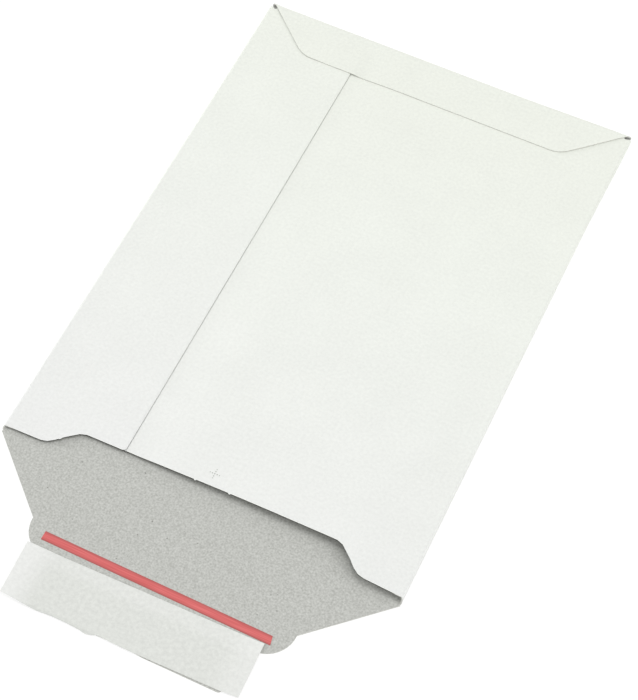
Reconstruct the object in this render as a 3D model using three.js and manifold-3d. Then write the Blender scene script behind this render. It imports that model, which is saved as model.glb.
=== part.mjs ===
import * as THREE from 'three';
import { mergeVertices } from 'three/addons/utils/BufferGeometryUtils.js';
import Module from 'manifold-3d';

// A mailing envelope folded from one sheet of solid board. It lies on its front panel with the closing flap
// open. Lengths are in millimetres. X runs across, Y from the mouth's crease to the bottom fold, Z up.

// Sheet
const boardThickness = 0.6;
const panelWidth = 176;
const panelLength = 250;
const pocketGap = 0.2; // free height over the front panel under the seam, pressed flat
const glueBond = 0.05; // how far glued layers sink into each other

// Back: a narrow panel from the left fold lies on a wide one from the right fold
const narrowPanelWidth = 49.7;
const seamLap = 18; // width of the glued seam
const seamRamp = 22; // run over which the wide panel dips under the narrow one
const backEndSetback = 2; // back panels stop short of the bottom fold

// Mouth: two tabs beside a recess
const tabSetback = 2; // tabs' edges from the crease
const tabWidth = 19.8;
const recessDepth = 10.8; // recess beyond the tabs' edges
const recessRadius = 7.5;

// Spring of the board: the right side of the back stands up at the mouth
const springPeak = 3.2;
const springAtFold = 2;
const springStart = 8; // from the left fold
const springPeakInset = 24; // from the right fold
const springEndMargin = 12; // lies flat this far before the bottom flap

// Bottom flap, glued over the back panels
const bottomFlapDepth = 23.3;
const bottomCornerInset = 2.2; // leaves a small hole at each bottom corner
const bottomCornerRise = 2.6;
const bottomFlapTaper = 22.9;
const bottomFlapRadius = 12;

// Closing flap: tapered, with two rounded ears at the tear strip and a narrower lip
const flapTaper = 30.6;
const flapTaperDepth = 28.6;
const earDepth = 12.8;
const earRadius = 12.5;
const lipInset = 14.6; // lip's root from the ears' sides
const lipTaper = 1.1;
const lipDepth = 20.75;
const lipFillet = 2;
const lipRadius = 1.5;

// Tear strip, adhesive and release liner on the closing flap
const tearStripThickness = 0.12;
const tearStripWidth = 4.1;
const tearStripMargin = 7.4; // strip's ends from the ears' sides
const tearStripDrop = 5.6; // strip's middle below the ears' start
const tearStripSkew = -0.65; // degrees
const adhesiveThickness = 0.15;
const adhesiveMargin = 2; // from the lip's edges
const linerThickness = 0.1;
const linerLength = 101.5;
const linerWidth = 23.8;
const linerShift = -2.8; // liner's middle to the left of the flap's middle
const linerInset = 0.2; // liner's lower edge from the lip's edge, at its middle
const linerSkew = 0.8; // degrees

// Fineness of the curves and of the sprung panels
const arcSegments = 4;
const acrossStep = 8;
const alongSteps = 24;
const mergeTolerance = 1e-4;

const halfWidth = panelWidth / 2;
const foldHeight = 3 * boardThickness + pocketGap;
const foldRadius = foldHeight / 2;
const seamX = narrowPanelWidth - halfWidth;
const backEnd = panelLength - backEndSetback;
const bottomFoldRadius = (foldHeight + boardThickness - glueBond) / 2;

const across = new THREE.Vector3(1, 0, 0);
const along = new THREE.Vector3(0, 1, 0);
const up = new THREE.Vector3(0, 0, 1);

const wasm = await Module();
wasm.setup();

// Closed geometry to a solid for joining and cutting
function toSolid(geometry) {
  const bare = geometry.clone();
  bare.deleteAttribute('normal');
  bare.deleteAttribute('uv');
  const merged = mergeVertices(bare, mergeTolerance);
  const vertProperties = new Float32Array(merged.attributes.position.array);
  const triVerts = new Uint32Array(merged.index.array);
  return new wasm.Manifold(new wasm.Mesh({ numProp: 3, vertProperties, triVerts }));
}

// Solid back to a geometry with flat faces
function toGeometry(solid) {
  const { vertProperties, triVerts } = solid.getMesh();
  const indexed = new THREE.BufferGeometry();
  indexed.setAttribute('position', new THREE.BufferAttribute(vertProperties, 3));
  indexed.setIndex(new THREE.BufferAttribute(triVerts, 1));
  const geometry = indexed.toNonIndexed();
  geometry.computeVertexNormals();
  return geometry;
}

// Shape through corners [x, y, radius], each rounded by an arc of its radius
function roundedShape(corners) {
  const shape = new THREE.Shape();
  const points = corners.map(([x, y]) => new THREE.Vector2(x, y));
  corners.forEach(([x, y, radius], i) => {
    if (!radius) {
      if (i === 0) shape.moveTo(x, y);
      else shape.lineTo(x, y);
      return;
    }
    const back = points.at(i - 1).clone().sub(points[i]).normalize();
    const ahead = points[(i + 1) % points.length].clone().sub(points[i]).normalize();
    const halfAngle = Math.acos(back.dot(ahead)) / 2;
    const centre = back.clone().add(ahead).setLength(radius / Math.sin(halfAngle)).add(points[i]);
    const start = back.setLength(radius / Math.tan(halfAngle)).add(points[i]).sub(centre);
    const end = ahead.setLength(radius / Math.tan(halfAngle)).add(points[i]).sub(centre);
    shape.absarc(centre.x, centre.y, radius, start.angle(), end.angle(), start.cross(end) < 0);
  });
  return shape;
}

// Shape seen from above, raised from one height to another
function plate(shape, low, high) {
  const geometry = new THREE.ExtrudeGeometry(shape, {
    depth: high - low,
    bevelEnabled: false,
    curveSegments: arcSegments,
  });
  return geometry.translate(0, 0, low);
}

// Mirror-image outline from its right half, top to bottom
function mirrored(rightHalf) {
  const leftHalf = rightHalf.map(([x, y, radius]) => [-x, y, radius]).reverse();
  return [...rightHalf, ...leftHalf];
}

// Evenly spaced stations from one place to another, both included
function stations(from, to) {
  const count = Math.max(1, Math.round(Math.abs(to - from) / acrossStep));
  return Array.from({ length: count + 1 }, (_, i) => from + (to - from) * i / count);
}

// How far the board's spring lifts the back at a place
function springLift(x, y) {
  const peakX = halfWidth - springPeakInset;
  const rise = THREE.MathUtils.smoothstep(x, springStart - halfWidth, peakX);
  const fall = THREE.MathUtils.smoothstep(x, peakX, halfWidth);
  const flatFrom = panelLength - bottomFlapDepth - springEndMargin;
  const fade = Math.cos(Math.PI / 2 * THREE.MathUtils.clamp(y / flatFrom, 0, 1)) ** 2;
  return (springPeak * rise - (springPeak - springAtFold) * fall) * fade;
}

// Lifts what lies above the pocket and leaves the front panel flat
function springOpen(geometry) {
  const position = geometry.attributes.position;
  for (let i = 0; i < position.count; i += 1) {
    const z = position.getZ(i);
    const share = THREE.MathUtils.clamp((z - boardThickness) / pocketGap, 0, 1);
    position.setZ(i, z + share * springLift(position.getX(i), position.getY(i)));
  }
  return geometry;
}

// Wall of the folded tube: front panel, side folds and the two back panels joined at the seam
function tubeSection() {
  const foldX = halfWidth - foldRadius;
  const wideTop = stations(foldX, seamX + seamRamp);
  const narrowTop = stations(seamX, -foldX);
  const narrowInside = stations(seamX - seamLap, -foldX);
  const dipped = foldHeight - boardThickness;
  const wall = new THREE.Shape();
  wall.moveTo(-foldX, 0);
  wall.lineTo(foldX, 0);
  wall.absarc(foldX, foldRadius, foldRadius, -Math.PI / 2, Math.PI / 2, false);
  wideTop.slice(1).forEach((x) => wall.lineTo(x, foldHeight));
  wall.lineTo(seamX, dipped);
  narrowTop.forEach((x) => wall.lineTo(x, foldHeight));
  wall.absarc(-foldX, foldRadius, foldRadius, Math.PI / 2, Math.PI * 3 / 2, false);
  const pocket = new THREE.Path();
  const innerRadius = foldRadius - boardThickness;
  pocket.moveTo(-foldX, boardThickness);
  pocket.lineTo(foldX, boardThickness);
  pocket.absarc(foldX, foldRadius, innerRadius, -Math.PI / 2, Math.PI / 2, false);
  wideTop.slice(1).forEach((x) => pocket.lineTo(x, dipped));
  pocket.lineTo(seamX, dipped - boardThickness);
  pocket.lineTo(seamX - seamLap, dipped - boardThickness);
  narrowInside.forEach((x) => pocket.lineTo(x, dipped));
  pocket.absarc(-foldX, foldRadius, innerRadius, Math.PI / 2, Math.PI * 3 / 2, false);
  wall.holes.push(pocket);
  return wall;
}

// Tube from the crease to the back panels' ends, sprung open
function foldedTube() {
  const geometry = new THREE.ExtrudeGeometry(tubeSection(), {
    depth: backEnd,
    steps: alongSteps,
    bevelEnabled: false,
    curveSegments: arcSegments,
  });
  const upright = new THREE.Matrix4().makeBasis(across, up, along.clone().negate());
  geometry.applyMatrix4(upright);
  geometry.translate(0, backEnd, 0);
  return toSolid(springOpen(geometry));
}

// Room cut out of the back at the mouth, which leaves the tabs and the recess
function mouthCut() {
  const margin = foldHeight;
  const recessY = tabSetback + recessDepth;
  const tabX = halfWidth - tabWidth;
  const outline = mirrored([
    [halfWidth + margin, -margin, 0],
    [halfWidth + margin, tabSetback, 0],
    [tabX, tabSetback, recessRadius],
    [tabX - recessDepth, recessY, recessRadius],
  ]);
  const clearHeight = foldHeight + springPeak + margin;
  return toSolid(plate(roundedShape(outline), boardThickness, clearHeight));
}

// Bottom fold and the flap that it carries over the back panels
function bottomFlap() {
  const bendY = panelLength - bottomFoldRadius;
  const freeY = panelLength - bottomFlapDepth;
  const height = 2 * bottomFoldRadius;
  const rootY = backEnd - height; // the fold's root reaches into the front panel
  const section = new THREE.Shape();
  section.moveTo(rootY, 0);
  section.lineTo(bendY, 0);
  section.absarc(bendY, bottomFoldRadius, bottomFoldRadius, -Math.PI / 2, Math.PI / 2, false);
  section.lineTo(freeY, height);
  section.lineTo(freeY, height - boardThickness);
  section.lineTo(bendY, height - boardThickness);
  const innerRadius = bottomFoldRadius - boardThickness;
  section.absarc(bendY, bottomFoldRadius, innerRadius, Math.PI / 2, -Math.PI / 2, true);
  section.lineTo(rootY, boardThickness);
  const strip = new THREE.ExtrudeGeometry(section, {
    depth: panelWidth,
    bevelEnabled: false,
    curveSegments: arcSegments,
  });
  strip.translate(0, 0, -halfWidth);
  strip.applyMatrix4(new THREE.Matrix4().makeBasis(along, up, across));
  const base = halfWidth - bottomCornerInset;
  const outline = mirrored([
    [base, panelLength + height, 0],
    [base, panelLength - bottomCornerRise, 0],
    [base - bottomFlapTaper, freeY, bottomFlapRadius],
  ]);
  return toSolid(strip).intersect(toSolid(plate(roundedShape(outline), -height, 2 * height)));
}

function envelopeBody() {
  return toGeometry(foldedTube().subtract(mouthCut()).add(bottomFlap()));
}

const earHalf = halfWidth - flapTaper;
const earEnd = flapTaperDepth + earDepth;
const flapReach = earEnd + lipDepth;
const lipRootHalf = earHalf - lipInset;
const lipHalf = lipRootHalf - lipTaper;

function closingFlap() {
  const outline = mirrored([
    [halfWidth, 0, 0],
    [earHalf, -flapTaperDepth, 0],
    [earHalf, -earEnd, earRadius],
    [lipRootHalf, -earEnd, lipFillet],
    [lipHalf, -flapReach, lipRadius],
  ]);
  return plate(roundedShape(outline), 0, boardThickness);
}

function tearStrip() {
  const length = 2 * (earHalf - tearStripMargin);
  const geometry = new THREE.BoxGeometry(length, tearStripWidth, tearStripThickness);
  return geometry.translate(0, 0, tearStripThickness / 2);
}

function adhesiveStrip() {
  const outline = mirrored([
    [lipRootHalf - adhesiveMargin, -earEnd - adhesiveMargin, 0],
    [lipHalf - adhesiveMargin, -flapReach + adhesiveMargin, 0],
  ]);
  return plate(roundedShape(outline), 0, adhesiveThickness);
}

function releaseLiner() {
  const geometry = new THREE.BoxGeometry(linerLength, linerWidth, linerThickness);
  return geometry.translate(0, 0, linerThickness / 2);
}

function piece(name, geometry, color, roughness) {
  const material = new THREE.MeshStandardMaterial({ color, roughness, metalness: 0 });
  const mesh = new THREE.Mesh(geometry, material);
  mesh.name = name;
  return mesh;
}

const body = piece('envelope_body', envelopeBody(), '#f0f2ec', 0.8);
const flap = piece('closing_flap', closingFlap(), '#c3c4bf', 0.9);

const strip = piece('tear_strip', tearStrip(), '#dd7474', 0.45);
strip.position.set(0, -flapTaperDepth - tearStripDrop, boardThickness);
strip.rotation.z = THREE.MathUtils.degToRad(tearStripSkew);

const adhesive = piece('adhesive_strip', adhesiveStrip(), '#e6e2d2', 0.3);
adhesive.position.z = boardThickness;

const liner = piece('release_liner', releaseLiner(), '#e2e4df', 0.5);
liner.position.set(linerShift, linerInset + linerWidth / 2 - flapReach, boardThickness + adhesiveThickness);
liner.rotation.z = THREE.MathUtils.degToRad(linerSkew);

// The origin is the middle of the front panel's outer face
const envelope = new THREE.Group();
envelope.add(body, flap, strip, adhesive, liner);
envelope.position.y = -panelLength / 2;

const part = new THREE.Group();
part.add(envelope);

export default part;
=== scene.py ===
import math
import bpy
import numpy as np
from mathutils import Matrix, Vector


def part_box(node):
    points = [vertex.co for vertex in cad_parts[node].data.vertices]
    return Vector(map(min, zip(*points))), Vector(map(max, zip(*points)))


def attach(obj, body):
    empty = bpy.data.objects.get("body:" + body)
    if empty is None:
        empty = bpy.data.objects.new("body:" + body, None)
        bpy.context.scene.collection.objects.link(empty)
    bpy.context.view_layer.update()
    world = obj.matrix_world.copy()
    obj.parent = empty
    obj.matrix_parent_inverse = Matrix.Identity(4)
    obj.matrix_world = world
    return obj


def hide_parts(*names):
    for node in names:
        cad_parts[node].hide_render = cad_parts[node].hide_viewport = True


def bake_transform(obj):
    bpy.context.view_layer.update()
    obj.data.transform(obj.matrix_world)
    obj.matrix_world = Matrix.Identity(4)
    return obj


# A mailing envelope of white-lined grey board, open, lying on its front. The frame is in metres and sizes
# here are in millimetres. x runs across, y from the closing flap's crease to the bottom fold, z up from the
# table.
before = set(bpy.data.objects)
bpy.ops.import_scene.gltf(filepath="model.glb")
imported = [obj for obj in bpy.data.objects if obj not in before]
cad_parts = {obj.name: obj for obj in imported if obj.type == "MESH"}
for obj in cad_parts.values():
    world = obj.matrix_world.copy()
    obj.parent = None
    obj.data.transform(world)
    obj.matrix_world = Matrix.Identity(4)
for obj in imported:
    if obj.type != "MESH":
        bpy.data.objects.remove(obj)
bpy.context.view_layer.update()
mm = 0.001

bodyLow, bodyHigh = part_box("envelope_body")
flapLow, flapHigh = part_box("closing_flap")
creaseY = flapHigh.y / mm  # the crease in the frame
halfWidth = bodyHigh.x / mm
panelLength = (bodyHigh.y - bodyLow.y) / mm
flapReach = (flapHigh.y - flapLow.y) / mm
print("frame loaded, panel", round(2 * halfWidth, 1), "x", round(panelLength, 1), "mm")


def toLinear(hexColour):
    channels = [int(hexColour[i:i + 2], 16) / 255 for i in (1, 3, 5)]
    return [c / 12.92 if c <= 0.04045 else ((c + 0.055) / 1.055) ** 2.4 for c in channels] + [1]


def addNode(owner, kind, values=None, links=None, stops=None, **settings):
    node = owner.node_tree.nodes.new(kind)
    for name, value in settings.items():
        setattr(node, name, value)
    for socket, value in (values or {}).items():
        node.inputs[socket].default_value = value
    for socket, source in (links or {}).items():
        owner.node_tree.links.new(source, node.inputs[socket])
    for position, colour in stops or []:
        node.color_ramp.elements.new(position).color = toLinear(colour)
    for end in (0, -1) if stops else ():  # a new ramp's own black and white ends go
        node.color_ramp.elements.remove(node.color_ramp.elements[end])
    return node


def emptyMaterial(name):
    material = bpy.data.materials.new(name)
    material.use_nodes = True
    material.node_tree.nodes.clear()
    return material


def smooth(value, low, high):
    share = np.clip((value - low) / (high - low), 0, 1)
    return share * share * (3 - 2 * share)


def plateau(value, start, full, leave, end):
    return smooth(value, start, full) * (1 - smooth(value, leave, end))


def waves(x, y, lengths):
    (firstX, firstY), (secondX, secondY) = lengths
    return np.sin(x / firstX + y / firstY) * np.sin(x / secondX + y / secondY)


def evenly(start, end, step):
    count = max(1, round(abs(end - start) / step))
    return np.linspace(start, end, count + 1)


def layPoints(x, y, z):
    return np.stack(np.broadcast_arrays(x, y, z), axis=-1)


# Camera at the photograph's place: a long lens that looks down on the mouth from the right
cameraView = {
    "place": (181.2, -434.1, 717.2),  # from the middle of the front panel
    "tilt": 31.2,  # degrees off straight down
    "heading": 23.14,  # degrees anticlockwise from +y
    "roll": 2.5,
    "focalPixels": 2027,
    "imageHeight": 700,
    "sensor": 36,
}


def addCamera():
    view = cameraView
    lens = bpy.data.cameras.new("camera")
    lens.sensor_width = view["sensor"]
    lens.lens = view["focalPixels"] / view["imageHeight"] * view["sensor"]
    lens.clip_start = 0.01
    camera = bpy.data.objects.new("camera", lens)
    turn = Matrix.Rotation(math.radians(view["heading"]), 4, "Z")
    turn = turn @ Matrix.Rotation(math.radians(view["tilt"]), 4, "X")
    turn = turn @ Matrix.Rotation(math.radians(view["roll"]), 4, "Z")
    camera.matrix_world = Matrix.Translation([p * mm for p in view["place"]]) @ turn
    bpy.context.scene.collection.objects.link(camera)
    bpy.context.scene.camera = camera


addCamera()
print("camera placed")


# Materials. The board, tape and liner store where each point lies on the flat sheet, in millimetres, as
# "sheet", so scales are one over a size in millimetres and the pattern goes round the folds with the board.
def whiteLiner():
    # Bleached recycled liner, pressed smooth on the board machine: matt, off-white and faintly cloudy,
    # neutral at the mouth with a trace of green towards the bottom. Single fibres are some 0.03 mm wide, so
    # their clumps are drawn instead, about 1.3 mm across.
    material = emptyMaterial("white_liner_machine_pressed")
    place = addNode(material, "ShaderNodeAttribute", attribute_name="sheet")
    clumps = addNode(material, "ShaderNodeTexNoise", {"Scale": 1 / 1.3, "Detail": 3, "Roughness": 0.6},
                     {"Vector": place.outputs["Vector"]})
    clouds = addNode(material, "ShaderNodeTexNoise", {"Scale": 1 / 24, "Detail": 2},
                     {"Vector": place.outputs["Vector"]})
    both = addNode(material, "ShaderNodeMath", {1: 0.3}, {0: clouds.outputs["Fac"], 2: clumps.outputs["Fac"]},
                   operation="MULTIPLY_ADD")
    shade = addNode(material, "ShaderNodeValToRGB", links={"Fac": both.outputs[0]},
                    stops=[(0.4, "#f4f4f4"), (0.9, "#ffffff")])
    onSheet = addNode(material, "ShaderNodeSeparateXYZ", links={0: place.outputs["Vector"]})
    side = addNode(material, "ShaderNodeMapRange", {"From Min": -60, "From Max": 60, "To Max": 0.12},
                   {"Value": onSheet.outputs[0]})
    drift = addNode(material, "ShaderNodeMath", {1: 1 / (foldY + board["bottomDepth"])},
                    {0: onSheet.outputs[1], 2: side.outputs[0]}, operation="MULTIPLY_ADD")
    tint = addNode(material, "ShaderNodeValToRGB", links={"Fac": drift.outputs[0]},
                   stops=[(0.02, "#f3f4f2"), (0.65, "#f4f7f0"), (0.98, "#f3f6ed")])
    tone = addNode(material, "ShaderNodeMix", {0: 1}, {6: tint.outputs["Color"], 7: shade.outputs["Color"]},
                   data_type="RGBA", blend_type="MULTIPLY")
    # register mark: a dotted cross pressed into the wide panel by the mouth; painted shade marks its dents
    offset = addNode(material, "ShaderNodeVectorMath", {1: (*registerMark["place"], 0)},
                     {0: place.outputs["Vector"]}, operation="SUBTRACT")
    away = addNode(material, "ShaderNodeVectorMath", links={0: offset.outputs[0]}, operation="ABSOLUTE")
    axes = addNode(material, "ShaderNodeSeparateXYZ", links={0: away.outputs[0]})
    along = addNode(material, "ShaderNodeMath", links={0: axes.outputs[0], 1: axes.outputs[1]},
                    operation="MAXIMUM")
    beside = addNode(material, "ShaderNodeMath", links={0: axes.outputs[0], 1: axes.outputs[1]},
                     operation="MINIMUM")
    onArm = addNode(material, "ShaderNodeMath", {1: registerMark["stroke"] / 2}, {0: beside.outputs[0]},
                    operation="LESS_THAN")
    inReach = addNode(material, "ShaderNodeMath", {1: registerMark["arm"]}, {0: along.outputs[0]},
                      operation="LESS_THAN")
    spaced = addNode(material, "ShaderNodeMath", {1: 2 * math.pi / registerMark["dotPitch"]},
                     {0: along.outputs[0]}, operation="MULTIPLY")
    dots = addNode(material, "ShaderNodeMath", links={0: spaced.outputs[0]}, operation="COSINE")
    dotted = addNode(material, "ShaderNodeMath", {1: 0}, {0: dots.outputs[0]}, operation="GREATER_THAN")
    crossed = addNode(material, "ShaderNodeMath", links={0: onArm.outputs[0], 1: inReach.outputs[0]},
                      operation="MULTIPLY")
    # painted shade: the pressed dots' dents drawn as darker grey
    pressed = addNode(material, "ShaderNodeMath", links={0: crossed.outputs[0], 1: dotted.outputs[0]},
                      operation="MULTIPLY")
    colour = addNode(material, "ShaderNodeMix", {7: toLinear("#b9bbb5")},
                     {0: pressed.outputs[0], 6: tone.outputs[2]}, data_type="RGBA")
    rough = addNode(material, "ShaderNodeMapRange", {"To Min": 0.72, "To Max": 0.86},
                    {"Value": clumps.outputs["Fac"]})
    relief = addNode(material, "ShaderNodeBump", {"Strength": 0.5, "Distance": 0.03 * mm},
                     {"Height": clumps.outputs["Fac"]})
    shader = addNode(material, "ShaderNodeBsdfPrincipled", {"IOR": 1.5, "Specular IOR Level": 0.35},
                     {"Base Color": colour.outputs[2], "Roughness": rough.outputs[0],
                      "Normal": relief.outputs[0]})
    addNode(material, "ShaderNodeOutputMaterial", links={"Surface": shader.outputs[0]})
    return material


def greyFibre():
    # Uncoated recycled fibre, the board's inside: dull grey with dark and light flecks of ink and
    # unbleached pulp, each a fraction of a millimetre long, drawn at 0.8 mm so that they show, and few
    # specks of black ink.
    material = emptyMaterial("grey_fibre_uncoated")
    place = addNode(material, "ShaderNodeAttribute", attribute_name="sheet")
    fleck = addNode(material, "ShaderNodeTexNoise", {"Scale": 1 / 0.8, "Detail": 2, "Roughness": 0.6},
                    {"Vector": place.outputs["Vector"]})
    tone = addNode(material, "ShaderNodeValToRGB", links={"Fac": fleck.outputs["Fac"]},
                   stops=[(0.25, "#adaea8"), (0.5, "#c2c3be"), (0.75, "#d3d4cf")])
    ink = addNode(material, "ShaderNodeTexNoise", {"Scale": 1 / 1.7, "Detail": 1},
                  {"Vector": place.outputs["Vector"]})
    specks = addNode(material, "ShaderNodeMapRange", {"From Min": 0.775, "From Max": 0.81, "To Max": 0.9},
                     {"Value": ink.outputs["Fac"]})
    colour = addNode(material, "ShaderNodeMix", {7: toLinear("#767771")},
                     {0: specks.outputs[0], 6: tone.outputs["Color"]}, data_type="RGBA")
    rough = addNode(material, "ShaderNodeMapRange", {"To Min": 0.84, "To Max": 0.96},
                    {"Value": fleck.outputs["Fac"]})
    relief = addNode(material, "ShaderNodeBump", {"Strength": 0.5, "Distance": 0.04 * mm},
                     {"Height": fleck.outputs["Fac"]})
    shader = addNode(material, "ShaderNodeBsdfPrincipled", {"IOR": 1.5, "Specular IOR Level": 0.3},
                     {"Base Color": colour.outputs[2], "Roughness": rough.outputs[0],
                      "Normal": relief.outputs[0]})
    addNode(material, "ShaderNodeOutputMaterial", links={"Surface": shader.outputs[0]})
    return material


def cutEdge():
    # Die-cut edge of the board: torn fibre ends in thin layers parallel to the faces, paler than the
    # inside. On the back panels it is painted darker, as the shadow in the gaps at their edges, and
    # darkest along the mouth, as the shadow under the back's edge.
    material = emptyMaterial("grey_board_die_cut")
    place = addNode(material, "ShaderNodeAttribute", attribute_name="sheet")
    layered = addNode(material, "ShaderNodeVectorMath", {1: (1 / 1.5, 1 / 1.5, 1 / 0.12)},
                      {0: place.outputs["Vector"]}, operation="MULTIPLY")
    layers = addNode(material, "ShaderNodeTexNoise", {"Scale": 1, "Detail": 2},
                     {"Vector": layered.outputs[0]})
    tone = addNode(material, "ShaderNodeValToRGB", links={"Fac": layers.outputs["Fac"]},
                   stops=[(0.3, "#cacac4"), (0.7, "#e4e4de")])
    axes = addNode(material, "ShaderNodeSeparateXYZ", links={0: place.outputs["Vector"]})
    girth = addNode(material, "ShaderNodeMath", links={0: axes.outputs[0]}, operation="ABSOLUTE")
    onBack = addNode(material, "ShaderNodeMapRange", {"From Min": halfWidth + 3, "From Max": halfWidth + 6},
                     {"Value": girth.outputs[0]})
    atMouth = addNode(material, "ShaderNodeMapRange", {"From Min": 30, "From Max": 20, "To Min": 0.7},
                      {"Value": axes.outputs[1]})
    # painted shade: darkens the back panels' cut edges, fully along the mouth
    paintedEdgeShade = addNode(material, "ShaderNodeMath", links={0: onBack.outputs[0], 1: atMouth.outputs[0]},
                     operation="MULTIPLY")
    colour = addNode(material, "ShaderNodeMix", {7: toLinear("#4c4c48")},
                     {0: paintedEdgeShade.outputs[0], 6: tone.outputs["Color"]}, data_type="RGBA")
    relief = addNode(material, "ShaderNodeBump", {"Strength": 0.6, "Distance": 0.04 * mm},
                     {"Height": layers.outputs["Fac"]})
    shader = addNode(material, "ShaderNodeBsdfPrincipled",
                     {"Roughness": 0.95, "IOR": 1.5, "Specular IOR Level": 0.2},
                     {"Base Color": colour.outputs[2], "Normal": relief.outputs[0]})
    addNode(material, "ShaderNodeOutputMaterial", links={"Surface": shader.outputs[0]})
    return material


def tapeFilm():
    # Stretched polypropylene tape, printed red from behind: satin, with fine drawn streaks along its length,
    # and both margins painted darker, as the shade along the tape's raised edges.
    material = emptyMaterial("red_tape_polypropylene")
    place = addNode(material, "ShaderNodeAttribute", attribute_name="sheet")
    drawn = addNode(material, "ShaderNodeVectorMath", {1: (1 / 14, 1 / 0.5, 1)}, {0: place.outputs["Vector"]},
                    operation="MULTIPLY")
    streaks = addNode(material, "ShaderNodeTexNoise", {"Scale": 1, "Detail": 2}, {"Vector": drawn.outputs[0]})
    tone = addNode(material, "ShaderNodeValToRGB", links={"Fac": streaks.outputs["Fac"]},
                   stops=[(0.3, "#cd5e5d"), (0.7, "#e27675")])
    axes = addNode(material, "ShaderNodeSeparateXYZ", links={0: place.outputs["Vector"]})
    across = addNode(material, "ShaderNodeMath", links={0: axes.outputs[1]}, operation="ABSOLUTE")
    half = tearStrip["width"] / 2
    # painted shade along both edges of the tape
    margin = addNode(material, "ShaderNodeMapRange",
                     {"From Min": half - tearStrip["margin"], "From Max": half - 0.1, "To Max": 0.85},
                     {"Value": across.outputs[0]})
    colour = addNode(material, "ShaderNodeMix", {7: toLinear("#ac5956")},
                     {0: margin.outputs[0], 6: tone.outputs["Color"]}, data_type="RGBA")
    rough = addNode(material, "ShaderNodeMapRange", {"To Min": 0.42, "To Max": 0.56},
                    {"Value": streaks.outputs["Fac"]})
    shader = addNode(material, "ShaderNodeBsdfPrincipled", {"IOR": 1.49, "Specular IOR Level": 0.3},
                     {"Base Color": colour.outputs[2], "Roughness": rough.outputs[0]})
    addNode(material, "ShaderNodeOutputMaterial", links={"Surface": shader.outputs[0]})
    return material


def siliconePaper():
    # Glassine with a silicone coat: thin, hazy paper with a soft sheen and mottling of about 1.6 mm. It
    # darkens where the adhesive wets it, and looks paler where it hangs free.
    material = emptyMaterial("release_paper_siliconed_glassine")
    place = addNode(material, "ShaderNodeAttribute", attribute_name="sheet")
    wetted = addNode(material, "ShaderNodeAttribute", attribute_name="wetted")
    mottle = addNode(material, "ShaderNodeTexNoise", {"Scale": 1 / 1.6, "Detail": 3, "Roughness": 0.6},
                     {"Vector": place.outputs["Vector"]})
    bonded = addNode(material, "ShaderNodeValToRGB", links={"Fac": mottle.outputs["Fac"]},
                     stops=[(0.3, "#d7d9d4"), (0.7, "#e5e7e2")])
    free = addNode(material, "ShaderNodeValToRGB", links={"Fac": mottle.outputs["Fac"]},
                   stops=[(0.3, "#e7e8e5"), (0.7, "#f1f2ef")])
    colour = addNode(material, "ShaderNodeMix",
                     links={0: wetted.outputs["Fac"], 6: free.outputs["Color"], 7: bonded.outputs["Color"]},
                     data_type="RGBA")
    rough = addNode(material, "ShaderNodeMapRange", {"To Min": 0.38, "To Max": 0.55},
                    {"Value": mottle.outputs["Fac"]})
    relief = addNode(material, "ShaderNodeBump", {"Strength": 0.3, "Distance": 0.02 * mm},
                     {"Height": mottle.outputs["Fac"]})
    shader = addNode(material, "ShaderNodeBsdfPrincipled", {"IOR": 1.46, "Specular IOR Level": 0.4},
                     {"Base Color": colour.outputs[2], "Roughness": rough.outputs[0],
                      "Normal": relief.outputs[0]})
    addNode(material, "ShaderNodeOutputMaterial", links={"Surface": shader.outputs[0]})
    return material


def tackyFilm():
    # Coated acrylic adhesive: a clear, faintly yellow film, wet-looking, with small ripples from the
    # coating bar.
    material = emptyMaterial("acrylic_adhesive_coated")
    place = addNode(material, "ShaderNodeTexCoord")
    ripples = addNode(material, "ShaderNodeTexNoise", {"Scale": 1 / (2 * mm), "Detail": 2},
                      {"Vector": place.outputs["Object"]})
    tone = addNode(material, "ShaderNodeValToRGB", links={"Fac": ripples.outputs["Fac"]},
                   stops=[(0.3, "#e0dbc9"), (0.7, "#ebe8da")])
    relief = addNode(material, "ShaderNodeBump", {"Strength": 0.4, "Distance": 0.02 * mm},
                     {"Height": ripples.outputs["Fac"]})
    shader = addNode(material, "ShaderNodeBsdfPrincipled", {"Roughness": 0.22, "IOR": 1.47},
                     {"Base Color": tone.outputs["Color"], "Normal": relief.outputs[0]})
    addNode(material, "ShaderNodeOutputMaterial", links={"Surface": shader.outputs[0]})
    return material


# A sheet's middle surface, as points and four-cornered faces, is given its thickness here. The cut edges
# are rounded over. Materials: 0 on the side that the faces' normals point to, 1 on the other side, 2 on the
# cut edge.
def gridFaces(grid):
    return np.stack([grid[:-1, :-1], grid[:-1, 1:], grid[1:, 1:], grid[1:, :-1]], axis=-1).reshape(-1, 4)


def unit(vectors):
    return vectors / np.maximum(np.linalg.norm(vectors, axis=1, keepdims=True), 1e-12)


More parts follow.
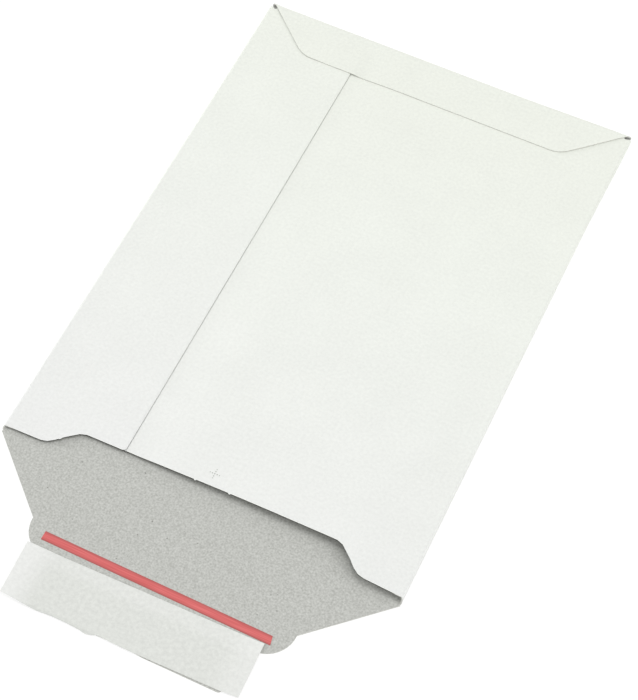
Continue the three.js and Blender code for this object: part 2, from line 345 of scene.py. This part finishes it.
def thickSheet(name, points, faces, sheet, thickness, rounding, materials):
    points, sheet = points.reshape(-1, 3), sheet.reshape(-1, 3)
    count = len(points)
    corners = points[faces]
    normal = np.zeros_like(points)
    for k in range(4):
        np.add.at(normal, faces[:, k], np.cross(corners[:, 2] - corners[:, 0], corners[:, 3] - corners[:, 1]))
    normal = unit(normal)
    edges = np.concatenate([faces[:, [k, (k + 1) % 4]] for k in range(4)])
    cut = edges[~np.isin(edges @ (count, 1), edges @ (1, count))]  # edges with a face on one side only
    outward = np.zeros_like(points)
    aside = unit(np.cross(points[cut[:, 1]] - points[cut[:, 0]], normal[cut[:, 0]] + normal[cut[:, 1]]))
    np.add.at(outward, cut[:, 0], aside)
    np.add.at(outward, cut[:, 1], aside)
    outward = unit(outward)
    half = np.ones((count, 1)) * np.reshape(thickness, (-1, 1)) / 2
    rim = np.unique(cut)
    full = 2 * half[rim] / rounding
    vertices = [points + normal * half - outward * rounding, points - normal * half - outward * rounding]
    places = [sheet, sheet + half * (0, 0, 2)]
    profile = [(0.3, 0.3), (0, 1), (0, full - 1), (0.3, full - 0.3)]  # inset and depth, in roundings
    for inset, depth in profile:
        down = depth * rounding
        vertices.append(points[rim] + normal[rim] * (half[rim] - down) - outward[rim] * inset * rounding)
        places.append(sheet[rim] + down * np.array((0, 0, 1)))
    loops = [np.arange(count)]
    for k in range(len(profile)):
        loop = np.zeros(count, int)
        loop[rim] = 2 * count + k * len(rim) + np.arange(len(rim))
        loops.append(loop)
    loops.append(count + np.arange(count))
    near, far = cut.T
    strips = [np.stack([upper[far], upper[near], lower[near], lower[far]], axis=-1)
              for upper, lower in zip(loops, loops[1:])]
    slots = [0] * len(faces) + [1] * len(faces)
    for strip, slot in zip(strips, (0, 2, 2, 2, 1)):
        slots += [slot] * len(strip)
    mesh = bpy.data.meshes.new(name)
    vertices = (np.concatenate(vertices) + (0, creaseY, 0)) * mm
    mesh.from_pydata(vertices.tolist(), [], np.concatenate([faces, faces[:, ::-1] + count, *strips]).tolist())
    mesh.polygons.foreach_set("material_index", slots)
    mesh.polygons.foreach_set("use_smooth", [True] * len(slots))
    mesh.set_sharp_from_angle(angle=math.radians(20))
    stored = mesh.attributes.new("sheet", "FLOAT_VECTOR", "POINT")
    stored.data.foreach_set("vector", np.concatenate(places).astype(np.float32).ravel())
    for material in materials:
        mesh.materials.append(material)
    mesh.update()
    piece = bpy.data.objects.new(name, mesh)
    bpy.context.scene.collection.objects.link(piece)
    print(name, len(mesh.vertices), "points", len(slots), "faces")
    return piece


# The board: one die-cut sheet. Its columns run round the girth, from the narrow back panel's edge over the
# left fold, the front and the right fold to the wide back panel's glued edge, and its rows from the mouth
# to the bottom.
board = {
    "thickness": 0.6,
    "pocketGap": 0.2,
    "glueFilm": 0.02,
    "cutRounding": 0.06,
    # back panels
    "narrowPanel": 49.7,
    "seamLap": 18,
    "seamRamp": 22,  # run over which the wide panel dips under the narrow one
    "seamCorner": 1.6,  # radius at the mouth
    "seamPress": 0.33,  # by which the glueing press thins the narrow panel's edge
    "seamPressRun": 0.7,
    "seamGroove": 0.18,  # depth of the narrow groove that the press leaves along it
    "grooveSide": (0.15, 0.35),  # where its slope lies, at the middle of the board
    "grooveFade": 6,
    "backSetback": 1.25,  # back panels stop short of the bottom fold
    "cornerHole": 0.7,  # and their corners a little more
    "cornerHoleFrom": (5, 1.5),  # where it begins and is full, from the envelope's side
    "cornerCuts": (1.15, 0.7),  # and most beside the left and the right fold
    "cornerCutPlace": 1.6,  # from the fold
    "cornerCutEnd": 3.6,
    "cornerRun": 6,  # of these cuts along the sides
    # mouth
    "tabSetback": 1.85,
    "tabSlant": 0.4,
    "tabWidth": 19.8,
    "recessDepth": 10.75,
    "recessRadius": 7.5,
    "recessShift": 0.3,  # to the left
    "recessBow": 0.15,  # of its edge, right of the middle
    "recessBowSpan": (-16, 2, 20, 48),
    "narrowRecess": 0.35,  # by which the narrow panel's edge lies nearer to the crease
    "narrowRecessSpan": (-66, -57),
    "nicks": (-64.4, -7.1, 8),  # torn bridges in the mouth's edge
    "nickReach": 0.45,
    "nickFoot": 0.6,  # half its width at the edge
    "nickTip": 0.25,
    "nickClear": 1,  # no other column lies nearer to its middle
    "springPeak": 3.2,  # how far the back stands open at the mouth
    "springAtFold": 2,
    "springStart": 8,
    "springPeakInset": 24,
    "springEndMargin": 12,
    "warp": 0.07,  # unevenness of the back
    "warpWaves": ((23, 61), (-90, 37)),
    "warpRuns": (25, 40),  # over which it fades, at the sides and the bottom
    # bottom
    "bottomTrim": 1.3,  # by which the bottom is folded short of the nominal length
    "bottomSkew": 0.9,  # and less at its right end
    "bottomSkewFrom": 30,
    "bottomSkewRun": 20,
    "cornerFlare": 0.9,  # by which the right corner stands out
    "cornerFlareFrom": 55,
    "cornerFlareRun": 62,
    "bottomFlareLess": 0.35,  # share of it that the bottom flap doesn't follow
    "bottomFlareFrom": (2, 5),  # along the flap from the start of its fold
    "bottomDepth": 22,
    "bottomPress": 0.14,  # as at the seam
    "bottomPressRun": 1.6,
    "bottomLift": 0.1,  # of its left side off the back
    "bottomLiftAtFold": 0.25,  # and more towards the corner
    "bottomLiftFrom": (9, 2),  # of that, from the fold
    "bottomLiftRun": 6,
    "bottomInset": 2.6,
    "bottomRise": 1.3,
    "bottomTaper": 22.9,
    "bottomRadius": 12,
    "bottomBulge": 0.4,  # of the fold's ends
    "bottomDipFrom": (1.9, 4.4),  # from the seam, where it follows the wide panel down
    "bottomDipRun": (3, 12),  # and from the fold
    # closing flap
    "flapTaper": 30.6,
    "flapTaperDepth": 28.6,
    "flapShoulder": 8,  # slope at which its sides leave the folds
    "earDepth": 12.8,
    "earRadius": 12.5,
    "lipInset": 14.6,
    "lipTaper": 1.1,
    "lipFillet": 2,
    "lipRadius": 1.5,
    "lipHollow": 0.5,  # in the lip's edge, left of its middle
    "lipHollowSpan": (-36, -30, 2, 9),
    "lipHollowRun": 4,
    "creaseZone": 2.8,  # beside the crease, that bends when the flap closes
    # spacing of the points
    "grid": 2.6,
    "fineGrid": 1,  # near the mouth and the bottom
    "fineRuns": (14, 4),
    "foldColumn": 0.4,  # a column close to each fold keeps the panel flat up to it
    "rampColumns": 2,
    "lapColumns": 3,
    "creaseRows": 16,
    "mouthRun": 45,  # rows this near the mouth follow its edge
    "flapEven": (0, 6),  # run over which a flap's outer columns are evened out
    "bottomEven": (3, 8),
}
foldHeight = 3 * board["thickness"] + board["pocketGap"]
bendRadius = (foldHeight - board["thickness"]) / 2  # side folds, at the middle of the board
foldX = halfWidth - foldHeight / 2
seamX = board["narrowPanel"] - halfWidth
bottomBase = halfWidth - board["bottomInset"]
foldY = panelLength - board["bottomTrim"]
bottomRadius = (foldHeight + board["glueFilm"]) / 2  # bottom fold, at the middle of the board
bendY = foldY - bottomRadius - board["thickness"] / 2
turnSteps = np.radians(np.arange(15, 180, 15))

registerMark = {
    # on the flat sheet, 1.2 left of the envelope's middle
    "place": (2 * foldX + math.pi * bendRadius + 1.2, 18.2),
    "arm": 2.2,
    "stroke": 0.5,
    "dotPitch": 1.05,
}


def panelColumns(start, end):
    hold = math.copysign(board["foldColumn"], end - start)
    return np.concatenate([[start], evenly(start + hold, end - hold, board["grid"]), [end]])


def mouthEdge(x):
    # tabs at the sides and a recess between them, joined by rounded steps at 45 degrees
    radius = board["recessRadius"]
    run = radius * math.tan(math.radians(22.5))
    tabX = halfWidth - board["tabWidth"]
    recessX = tabX - board["recessDepth"]
    recessY = board["tabSetback"] + board["recessDepth"]

    def step(d):
        arc = np.clip(d, 0, radius * math.sqrt(0.5))
        return radius - np.sqrt(radius ** 2 - arc ** 2) + np.maximum(d - radius * math.sqrt(0.5), 0)

    bowed = board["recessBow"] * plateau(x, *board["recessBowSpan"])
    x = np.abs(x + board["recessShift"])
    slant = board["tabSlant"] * np.clip((halfWidth - x) / board["tabWidth"], 0, 1)
    fromTab = board["tabSetback"] + slant + step(tabX + run - x)
    fromRecess = recessY + bowed - step(x - recessX + run)
    return np.where(x > (tabX + recessX) / 2, fromTab, fromRecess)


def springLift(x, y):
    # the board's spring lifts the right side of the back at the mouth; a faint unevenness runs over both
    # panels
    peakX = halfWidth - board["springPeakInset"]
    rise = smooth(x, board["springStart"] - halfWidth, peakX)
    fall = smooth(x, peakX, halfWidth)
    flatFrom = foldY - board["bottomDepth"] - board["springEndMargin"]
    fade = np.cos(math.pi / 2 * np.clip(y / flatFrom, 0, 1)) ** 2
    lift = (board["springPeak"] * rise - (board["springPeak"] - board["springAtFold"]) * fall) * fade
    sideRun, endRun = board["warpRuns"]
    uneven = waves(x, y, board["warpWaves"]) * smooth(halfWidth - np.abs(x), 0, sideRun)
    return lift + board["warp"] * uneven * smooth(flatFrom - y, 0, endRun)


def seamDip(x):
    # the wide panel goes down under the narrow one, last in a groove along the seam
    beside = x - seamX
    foot, top = board["grooveSide"]
    ramp = (board["thickness"] + board["glueFilm"]) * smooth(-beside, -board["seamRamp"], 0)
    return ramp - board["seamGroove"] * plateau(beside, foot, top, top, board["grooveFade"])


def bottomShift(x, y):
    return board["bottomSkew"] * smooth(x, board["bottomSkewFrom"], halfWidth) * smooth(
        y, foldY - board["bottomSkewRun"], foldY)


def cornerFlare(x, y):
    return board["cornerFlare"] * smooth(x, board["cornerFlareFrom"], halfWidth) * smooth(
        y, foldY - board["cornerFlareRun"], foldY)


def withNicks(columns):
    # a die leaves small bridges uncut, and each needs columns of its own
    foot, tip = board["nickFoot"], board["nickTip"]
    nicks = [n for n in board["nicks"] if columns.min() < n < columns.max()]
    kept = [c for c in columns if all(abs(c - n) > board["nickClear"] for n in nicks)]
    return np.sort(kept + [n + d for n in nicks for d in (-foot, -tip, tip, foot)])[::-1]


def nickReach(x):
    foot, tip = board["nickFoot"], board["nickTip"]
    return sum(board["nickReach"] * smooth(foot - np.abs(x - n), 0, foot - tip) for n in board["nicks"])


def girthColumns():
    # x, height, share of the spring and the mouth's edge for each column, and which of them are the front's
    corner = np.radians(np.arange(90, 0, -18))
    corner = board["seamCorner"] * np.array([np.sin(corner) - 1, 1 - np.cos(corner)])
    cutX = foldX - board["cornerCutPlace"]
    narrowX = panelColumns(seamX - board["seamCorner"], -foldX)
    narrowX = withNicks(np.concatenate([seamX + corner[0], narrowX[:-2], [-cutX], narrowX[-2:]]))
    frontX = panelColumns(-foldX, foldX)
    rampX = seamX + board["seamRamp"]
    spacing = board["rampColumns"]
    wideX = panelColumns(foldX, rampX)
    ramp = evenly(rampX, seamX + spacing, spacing)[1:]
    groove = seamX + np.array([spacing / 2, *board["grooveSide"][::-1], 0])
    lap = evenly(seamX, seamX - board["seamLap"], board["lapColumns"])[1:]
    wideX = withNicks(np.concatenate([wideX[:2], [cutX], wideX[2:], ramp, groove, lap]))
    over = turnSteps[::-1]
    x = [narrowX, -foldX - bendRadius * np.sin(over), frontX, foldX + bendRadius * np.sin(turnSteps), wideX]
    backLevel = foldHeight - board["thickness"] / 2
    level = [np.full(len(narrowX), backLevel), foldHeight / 2 - bendRadius * np.cos(over),
             np.full(len(frontX), board["thickness"] / 2), foldHeight / 2 - bendRadius * np.cos(turnSteps),
             backLevel - seamDip(wideX)]
    yields = (0.9, 2.2)  # angles between which a side fold begins to spring and springs in full
    sprung = [np.ones(len(narrowX)), smooth(over, *yields), np.zeros(len(frontX)), smooth(turnSteps, *yields),
              np.ones(len(wideX))]
    rounded = np.concatenate([corner[1], np.zeros(len(narrowX) - len(corner[1]))])
    nearer = board["narrowRecess"] * smooth(narrowX, *board["narrowRecessSpan"])
    mouth = [mouthEdge(narrowX) - nickReach(narrowX) - nearer + rounded,
             board["tabSetback"] * smooth(over, 0, math.pi), np.zeros(len(frontX)),
             board["tabSetback"] * smooth(turnSteps, 0, math.pi),
             mouthEdge(wideX) - nickReach(wideX)]
    front = len(narrowX) + len(over) + np.arange(len(frontX))
    return [np.concatenate(part) for part in (x, level, sprung, mouth)] + [front]


def arcRows(centre, radius, angles):
    angles = np.radians(angles)
    return np.stack([centre[0] + radius * np.sin(angles), centre[1] + radius * np.cos(angles)], axis=-1)


def closingFlapRows():
    # (distance from the crease, half width): taper, rounded ear, fillet, lip with rounded corners
    earHalf = halfWidth - board["flapTaper"]
    earEnd = board["flapTaperDepth"] + board["earDepth"]
    lipRoot = earHalf - board["lipInset"]
    lean = math.atan2(board["lipTaper"], flapReach - earEnd)
    down = np.concatenate([np.linspace(0, board["creaseZone"], board["creaseRows"] + 1)[1:],
                           evenly(board["creaseZone"], board["flapTaperDepth"], board["grid"])[1:]])
    taper = halfWidth - board["flapTaper"] * down / board["flapTaperDepth"]
    tapered = np.stack([down, np.minimum(taper, foldX + board["flapShoulder"] * down)], axis=-1)
    ear = arcRows((earEnd - board["earRadius"], earHalf - board["earRadius"]), board["earRadius"],
                  np.arange(0, 91, 9))
    reachBack = board["lipFillet"] / math.tan(math.radians(45) + lean / 2)
    filletTurn = np.radians(np.linspace(180, 270 - math.degrees(lean), 6)[1:])
    fillet = np.stack([earEnd + board["lipFillet"] * (1 + np.cos(filletTurn)),
                       lipRoot + reachBack + board["lipFillet"] * np.sin(filletTurn)], axis=-1)
    tip = lipRoot - board["lipTaper"]
    tipBack = board["lipRadius"] / math.tan(math.radians(45) - lean / 2)
    lip = arcRows((flapReach - board["lipRadius"], tip - tipBack), board["lipRadius"],
                  np.linspace(-math.degrees(lean), 90, 5))
    side = evenly(fillet[-1, 0], lip[0, 0], board["grid"])[1:-1]
    sides = np.stack([side, np.interp(side, [fillet[-1, 0], lip[0, 0]], [fillet[-1, 1], lip[0, 1]])], axis=-1)
    return np.concatenate([tapered, ear, fillet, sides, lip])


def bottomFlapRows():
    # (y, z, half width) round the bottom fold and back over the panels
    flapLevel = foldHeight + board["glueFilm"] + board["thickness"] / 2
    freeY = foldY - board["bottomDepth"]
    turn = np.radians(np.arange(0, 181, 15))
    narrowing = (foldX - bottomBase) * smooth(turn, math.pi / 2, math.pi)
    half = foldX + board["bottomBulge"] * np.sin(turn) - narrowing
    foldZ = flapLevel - bottomRadius * (1 + np.cos(turn))
    fold = np.stack([bendY + bottomRadius * np.sin(turn), foldZ, half], axis=-1)
    taperY = foldY - board["bottomRise"]
    slope = math.atan2(board["bottomTaper"], taperY - freeY)  # off the y axis
    tipHalf = bottomBase - board["bottomTaper"]
    sweep = math.pi / 2 - slope  # of the rounded corners
    centre = np.array([freeY + board["bottomRadius"], tipHalf - board["bottomRadius"] * math.tan(sweep / 2)])
    angles = np.linspace(sweep, 0, 6)
    arc = np.stack([centre[0] - board["bottomRadius"] * np.cos(angles),
                    centre[1] + board["bottomRadius"] * np.sin(angles)], axis=-1)
    straight = evenly(bendY, arc[0, 0], board["grid"])[1:-1]
    side = np.stack([straight, np.interp(-straight, [-taperY, -arc[0, 0]], [bottomBase, arc[0, 1]])], axis=-1)
    over = np.concatenate([side, arc])
    return np.concatenate([fold, np.insert(over, 1, flapLevel, axis=1)])


def acrossFlap(across, rowHalf, evening):
    # x of a flap's columns: they start as the front's, and away from the folds those beside the edges are
    # evened out
    evened = np.zeros_like(across)
    evened[[1, -2]] = (across[[0, -1]] + across[[2, -3]]) / 2 - across[[1, -2]]
    return rowHalf * (across[:, None] + evened[:, None] * evening)


# Each of the next three gives a surface of the folded board: its points, their places on the flat sheet and
# the board's thickness there, all by column and row.
def pocketSurface(x, level, sprung, mouth, front):
    backEnd = foldY - board["backSetback"]
    mouthRun, endRun = board["fineRuns"]
    rows = np.concatenate([evenly(0, mouthRun, board["fineGrid"])[:-1],
                           evenly(mouthRun, backEnd - endRun, board["grid"]),
                           evenly(backEnd - endRun, backEnd, board["fineGrid"])[1:]])
    y = rows + mouth[:, None] * np.clip(1 - rows / board["mouthRun"], 0, 1) ** 2
    wide = np.repeat(x[:, None], len(rows), axis=1)
    onBack = smooth(level, foldHeight / 4, foldHeight / 2)
    holeStart, holeFull = board["cornerHoleFrom"]
    shorter = board["cornerHole"] * onBack * smooth(np.abs(x), halfWidth - holeStart, halfWidth - holeFull)
    place = board["cornerCutPlace"]
    shorter += np.where(x < 0, *board["cornerCuts"]) * onBack * plateau(
        foldX - np.abs(x), 0, place, place, board["cornerCutEnd"])
    frontGap = 0.15  # the front ends just before the bottom fold's first row
    shorter += (backEnd - bendY + frontGap) * (1 - smooth(level, board["thickness"] / 2, foldHeight / 2))
    y -= shorter[:, None] * smooth(rows, backEnd - board["cornerRun"], backEnd)
    y += bottomShift(wide, y)
    wide += cornerFlare(wide, y)
    pressed = board["seamPress"] * smooth(x, seamX - board["seamPressRun"], seamX)
    pressed[front[0]:] = 0
    z = (level - pressed / 2)[:, None] + sprung[:, None] * springLift(wide, y)
    girth = np.concatenate([[0], np.cumsum(np.hypot(np.diff(x), np.diff(level)))])
    girth -= np.interp(0, x[front], girth[front])
    thickness = board["thickness"] - pressed[:, None] + 0 * y
    return layPoints(wide, y, z), layPoints(girth[:, None], y, 0), thickness


def closingFlapSurface(across):
    down, half = closingFlapRows().T
    x = acrossFlap(across, half, smooth(down, *board["flapEven"]))
    hollow = board["lipHollow"] * plateau(x, *board["lipHollowSpan"])
    y = hollow * smooth(down, flapReach - board["lipHollowRun"], flapReach) - down
    thickness = board["thickness"]
    return layPoints(x, y, thickness / 2), layPoints(x, y, 0), thickness + 0 * x


def bottomFlapSurface(across):
    rowY, rowZ, half = bottomFlapRows().T
    path = np.concatenate([[0], np.cumsum(np.hypot(np.diff(rowY), np.diff(rowZ)))])
    x = acrossFlap(across, half, smooth(path, *board["bottomEven"]))
    y = np.repeat(rowY[None], len(across), axis=0)
    y += bottomShift(x, y)
    x += cornerFlare(x, y) * (1 - board["bottomFlareLess"] * smooth(path, *board["bottomFlareFrom"]))
    pressRun = board["bottomPressRun"]
    pressed = board["bottomPress"] * smooth(foldY - board["bottomDepth"] + pressRun - rowY, 0, pressRun)
    dip = seamDip(x) * smooth(x - seamX, *board["bottomDipFrom"]) * smooth(foldY - y, *board["bottomDipRun"])
    liftRun = board["bottomLiftRun"]
    liftStart, liftFull = board["bottomLiftFrom"]
    lifted = board["bottomLift"] + board["bottomLiftAtFold"] * smooth(y, foldY - liftStart, foldY - liftFull)
    lifted *= smooth(liftRun - x - half, 0, liftRun)
    lifted *= smooth(rowZ, foldHeight / 2, foldHeight + board["thickness"] / 2)
    z = rowZ - pressed / 2 - dip + lifted
    return layPoints(x, y, z), layPoints(x, rowY[0] + path, 0), board["thickness"] - pressed + 0 * x


def foldedBoard():
    columns = girthColumns()
    front = columns[-1]
    across = columns[0][front] / foldX
    surfaces = [pocketSurface(*columns), closingFlapSurface(across), bottomFlapSurface(across)]
    grids = []
    made = 0
    for surface in surfaces:
        grids.append(made + np.arange(surface[2].size).reshape(surface[2].shape))
        made += surface[2].size
    pocket, flap, bottom = grids
    faces = np.concatenate([gridFaces(pocket),
                            gridFaces(np.concatenate([pocket[front, :1], flap], axis=1)[:, ::-1]),
                            gridFaces(np.concatenate([pocket[front, -1:], bottom], axis=1))])
    points, sheet = [np.concatenate([surface[k].reshape(-1, 3) for surface in surfaces]) for k in (0, 1)]
    thickness = np.concatenate([surface[2].ravel() for surface in surfaces])
    piece = thickSheet("board_sheet", points, faces, sheet, thickness, board["cutRounding"],
                       [whiteLiner(), greyFibre(), cutEdge()])
    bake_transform(piece)
    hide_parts("envelope_body", "closing_flap")


# Tear strip: a printed tape stuck across the flap between the ears
tearStrip = {
    "length": 100,
    "width": 3.9,
    "thickness": 0.12,
    "drop": 34.25,  # its middle below the crease
    "rightCut": 0.8,  # by which its right end is cut askew
    "rightCutRun": 10,
    "margin": 1.1,  # width of the band painted darker as the shade at the tape's edges
    "skew": -0.65,  # degrees
    "rounding": 0.04,
    "grid": (2, 0.6),
}


def turned(along, across, middle, degrees):
    c, s = math.cos(math.radians(degrees)), math.sin(math.radians(degrees))
    return middle[0] + c * along - s * across, middle[1] + s * along + c * across


def addTearStrip():
    end, half = tearStrip["length"] / 2, tearStrip["width"] / 2
    stepAlong, stepAcross = tearStrip["grid"]
    along, across = np.meshgrid(evenly(-end, end, stepAlong), evenly(half, -half, stepAcross), indexing="ij")
    askew = smooth(along, end - tearStrip["rightCutRun"], end) * (across / tearStrip["width"] + 0.5)
    along = along - tearStrip["rightCut"] * askew
    x, y = turned(along, across, (0, -tearStrip["drop"]), tearStrip["skew"])
    film = tapeFilm()
    piece = thickSheet("tear_tape", layPoints(x, y, board["thickness"] + tearStrip["thickness"] / 2),
                       gridFaces(np.arange(x.size).reshape(x.shape))[:, ::-1], layPoints(along, across, 0),
                       tearStrip["thickness"], tearStrip["rounding"], [film, film, film])
    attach(piece, "flap")
    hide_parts("tear_strip")


# Release liner: a strip of siliconed paper over the adhesive, a little askew, cut roughly along its lower
# edge, with its free left end curled up
releaseLiner = {
    "upperLeft": (-53.9, -38.9),
    "upperRight": (47.9, -37.2),
    "lowerEdge": [(-52.5, -62.6), (-37, -62.75), (-30, -62.25), (-24, -62.3), (-18.3, -62.55),
                  (-15.6, -63.1), (-13.2, -62.55), (-11.1, -61.75), (-4, -62), (4, -62.1), (9, -62),
                  (40, -61.5), (48.4, -60.8)],
    "thickness": 0.1,
    "level": 0.8,  # its middle over the table
    "curl": 2.2,  # rise of the lower left corner, the upper one rises a third of it
    "curlFrom": 36,  # where the left end leaves the lip
    "curlRun": 17,
    "rightLift": 0.35,  # rise of the upper right corner
    "rightLiftSpan": (38, 48),
    "droop": 0.45,  # where it overhangs the lip
    "droopBelow": (-0.4, 0.6),  # past the lip's edge
    "droopBeside": (44, 49),  # right of the lip
    "droopFrom": (43, 50),  # under the ear
    "ripple": 0.03,
    "rippleWaves": ((6, 9), (17, -5)),
    "wettedLeft": (-9, 3),  # where the adhesive shows through, from its own edges
    "wettedRight": (-9, 6),
    "wettedTop": (-3, 1.5),
    "dryRight": 0.6,  # how much it fades there
    "dryTop": 0.34,
    "rounding": 0.03,
    "grid": 0.6,
    "rows": (0.05, 0.015),  # of its height, closer over the last fifth
}


def addReleaseLiner():
    liner = releaseLiner
    (leftX, leftY), (rightX, rightY) = liner["upperLeft"], liner["upperRight"]
    edgeX, edgeY = np.array(liner["lowerEdge"]).T
    lowerX = np.union1d(evenly(edgeX[0], edgeX[-1], liner["grid"]), edgeX)[:, None]
    share = (lowerX - edgeX[0]) / (edgeX[-1] - edgeX[0])
    coarse, fine = liner["rows"]
    low = np.concatenate([evenly(0, 0.8, coarse), evenly(0.8, 1, fine)[1:]])
    x = (leftX + share * (rightX - leftX)) * (1 - low) + lowerX * low
    y = (leftY + share * (rightY - leftY)) * (1 - low) + np.interp(lowerX, edgeX, edgeY) * low
    curled = smooth(-x, liner["curlFrom"], liner["curlFrom"] + liner["curlRun"])
    z = liner["level"] + liner["curl"] * curled * (1 + 2 * low) / 3
    z += liner["rightLift"] * smooth(x, *liner["rightLiftSpan"]) * (1 - low)
    besideLip = smooth(x, *liner["droopBeside"]) * smooth(-y, *liner["droopFrom"])
    overhang = np.maximum(smooth(-y - flapReach, *liner["droopBelow"]), besideLip)
    z -= liner["droop"] * overhang * (1 - curled)
    z += liner["ripple"] * waves(x, y, liner["rippleWaves"])
    paper = siliconePaper()
    piece = thickSheet("release_paper", layPoints(x, y, z),
                       gridFaces(np.arange(x.size).reshape(x.shape))[:, ::-1], layPoints(x, y, 0),
                       liner["thickness"], liner["rounding"], [paper, paper, paper])
    spots = np.array([v.co for v in piece.data.vertices]) / mm
    adhesiveLow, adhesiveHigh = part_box("adhesive_strip")
    wetted = smooth(spots[:, 0] - adhesiveLow.x / mm, *liner["wettedLeft"])
    wetted *= 1 - liner["dryRight"] * smooth(spots[:, 0] - adhesiveHigh.x / mm, *liner["wettedRight"])
    wetted *= 1 - liner["dryTop"] * smooth(spots[:, 1] - adhesiveHigh.y / mm, *liner["wettedTop"])
    piece.data.attributes.new("wetted", "FLOAT", "POINT").data.foreach_set("value", wetted.astype(np.float32))
    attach(piece, "flap")
    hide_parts("release_liner")


foldedBoard()
addTearStrip()
addReleaseLiner()
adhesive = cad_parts["adhesive_strip"]
adhesive.data.materials.clear()
adhesive.data.materials.append(tackyFilm())
print("pieces made")


# Studio: a white table under a wide soft light, with a softer one on each side
studio = {
    "floorSize": 6000,
    "floorLevel": 0.02,  # a hair over the board's lower face, which then doesn't flicker through it
    "floorColour": "#f4f4f3",  # as it lights the envelope
    "floorShown": "#a0a09f",  # as the camera sees it under its glow, which leaves a light shadow
    "floorGlow": 0.72,
    "skyShare": 0.6,  # of the light that falls on the table, from all round
    "lampSize": 1600,
    "lampDistance": 3000,
    "lamps": [  # (heading anticlockwise from +y, elevation, share of the light on the table)
        (-22, 84, 0.2),
        (-90, 32, 0.13),
        (90, 15, 0.11),
    ],
}


def seenDirectly(owner):
    # 1 for rays that show the background: from the camera, in gloss and through clear things
    path = addNode(owner, "ShaderNodeLightPath")
    first = addNode(owner, "ShaderNodeMath",
                    links={0: path.outputs["Is Camera Ray"], 1: path.outputs["Is Glossy Ray"]},
                    operation="MAXIMUM")
    both = addNode(owner, "ShaderNodeMath",
                   links={0: first.outputs[0], 1: path.outputs["Is Transmission Ray"]},
                   operation="MAXIMUM")
    return both.outputs[0]


def addFloor():
    mesh = bpy.data.meshes.new("floor")
    reach = studio["floorSize"] / 2 * mm
    level = studio["floorLevel"] * mm
    corners = [(-reach, -reach, level), (reach, -reach, level), (reach, reach, level), (-reach, reach, level)]
    mesh.from_pydata(corners, [], [(0, 1, 2, 3)])
    floor = bpy.data.objects.new("floor", mesh)
    bpy.context.scene.collection.objects.link(floor)
    material = emptyMaterial("table_white_matt")
    shown = seenDirectly(material)
    tone = addNode(material, "ShaderNodeMix",
                   {6: toLinear(studio["floorColour"]), 7: toLinear(studio["floorShown"])}, {0: shown},
                   data_type="RGBA")
    glow = addNode(material, "ShaderNodeMath", {1: studio["floorGlow"]}, {0: shown}, operation="MULTIPLY")
    shader = addNode(material, "ShaderNodeBsdfPrincipled",
                     {"Roughness": 1, "Specular IOR Level": 0, "Emission Color": (1, 1, 1, 1)},
                     {"Base Color": tone.outputs[2], "Emission Strength": glow.outputs[0]})
    addNode(material, "ShaderNodeOutputMaterial", links={"Surface": shader.outputs[0]})
    mesh.materials.append(material)


def addLight():
    distance = studio["lampDistance"] * mm
    for heading, elevation, share in studio["lamps"]:
        lamp = bpy.data.lights.new("softbox", "AREA")
        lamp.energy = share * (math.pi * distance) ** 2 / math.sin(math.radians(elevation))
        lamp.size = studio["lampSize"] * mm
        softbox = bpy.data.objects.new("softbox", lamp)
        turn = Matrix.Rotation(math.radians(heading), 4, "Z")
        turn = turn @ Matrix.Rotation(math.radians(elevation - 90), 4, "X")
        softbox.matrix_world = turn @ Matrix.Translation((0, 0, distance))
        bpy.context.scene.collection.objects.link(softbox)

    world = bpy.data.worlds.new("sky")
    world.use_nodes = True
    world.node_tree.nodes.clear()
    shown = seenDirectly(world)
    strength = addNode(world, "ShaderNodeMapRange", {"To Min": studio["skyShare"], "To Max": 1},
                       {"Value": shown})
    sky = addNode(world, "ShaderNodeBackground", {"Color": (1, 1, 1, 1)}, {"Strength": strength.outputs[0]})
    addNode(world, "ShaderNodeOutputWorld", links={"Surface": sky.outputs[0]})
    bpy.context.scene.world = world


addFloor()
addLight()
bpy.context.scene.view_settings.view_transform = "Standard"
print("floor and light set")
